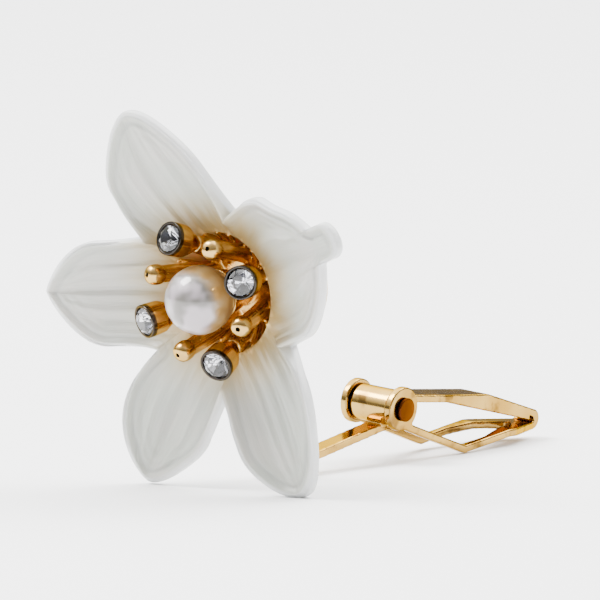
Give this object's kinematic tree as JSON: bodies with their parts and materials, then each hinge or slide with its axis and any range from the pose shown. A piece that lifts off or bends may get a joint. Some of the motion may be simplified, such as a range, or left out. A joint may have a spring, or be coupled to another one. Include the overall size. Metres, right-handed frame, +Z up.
{
  "type": "clip-on earring",
  "caption": "Clip-on earring: a moulded flower with pointed petals, a pearl and cut stones on gold stamens, and a sprung paddle clip that stands open.",
  "frame": {"origin": "on the surface that the earring rests on, under the middle of its bounding box", "axes": "+Z up; +Y from the flower back to the lever's tip; +X to the right as seen from in front of the flower"},
  "size_m": [0.0226, 0.0349, 0.0222],
  "materials": {
    "petal_resin": "satin pearly resin, sprayed gold-brown towards the throat",
    "gold": "polished, plated warm gold",
    "pearl": "lustrous, coated imitation pearl",
    "stone": "clear, cut and polished"
  },
  "bodies": {
    "earring": {"flower": "petal_resin", "stamens": "gold", "pearl": "pearl", "crystal_1": "stone", "crystal_2": "stone", "crystal_3": "stone", "crystal_4": "stone", "clip_arm": "gold", "hinge_pin": "gold"},
    "lever": {"clip_lever": "gold"}
  },
  "joints": [
    {"name": "lever_hinge", "type": "hinge", "parent": "earring", "child": "lever", "pos_m": [-0.00035, 0.00294, 0.0034], "axis": [0.9959, 0, -0.0907], "range_deg": [0, 130]}
  ]
}
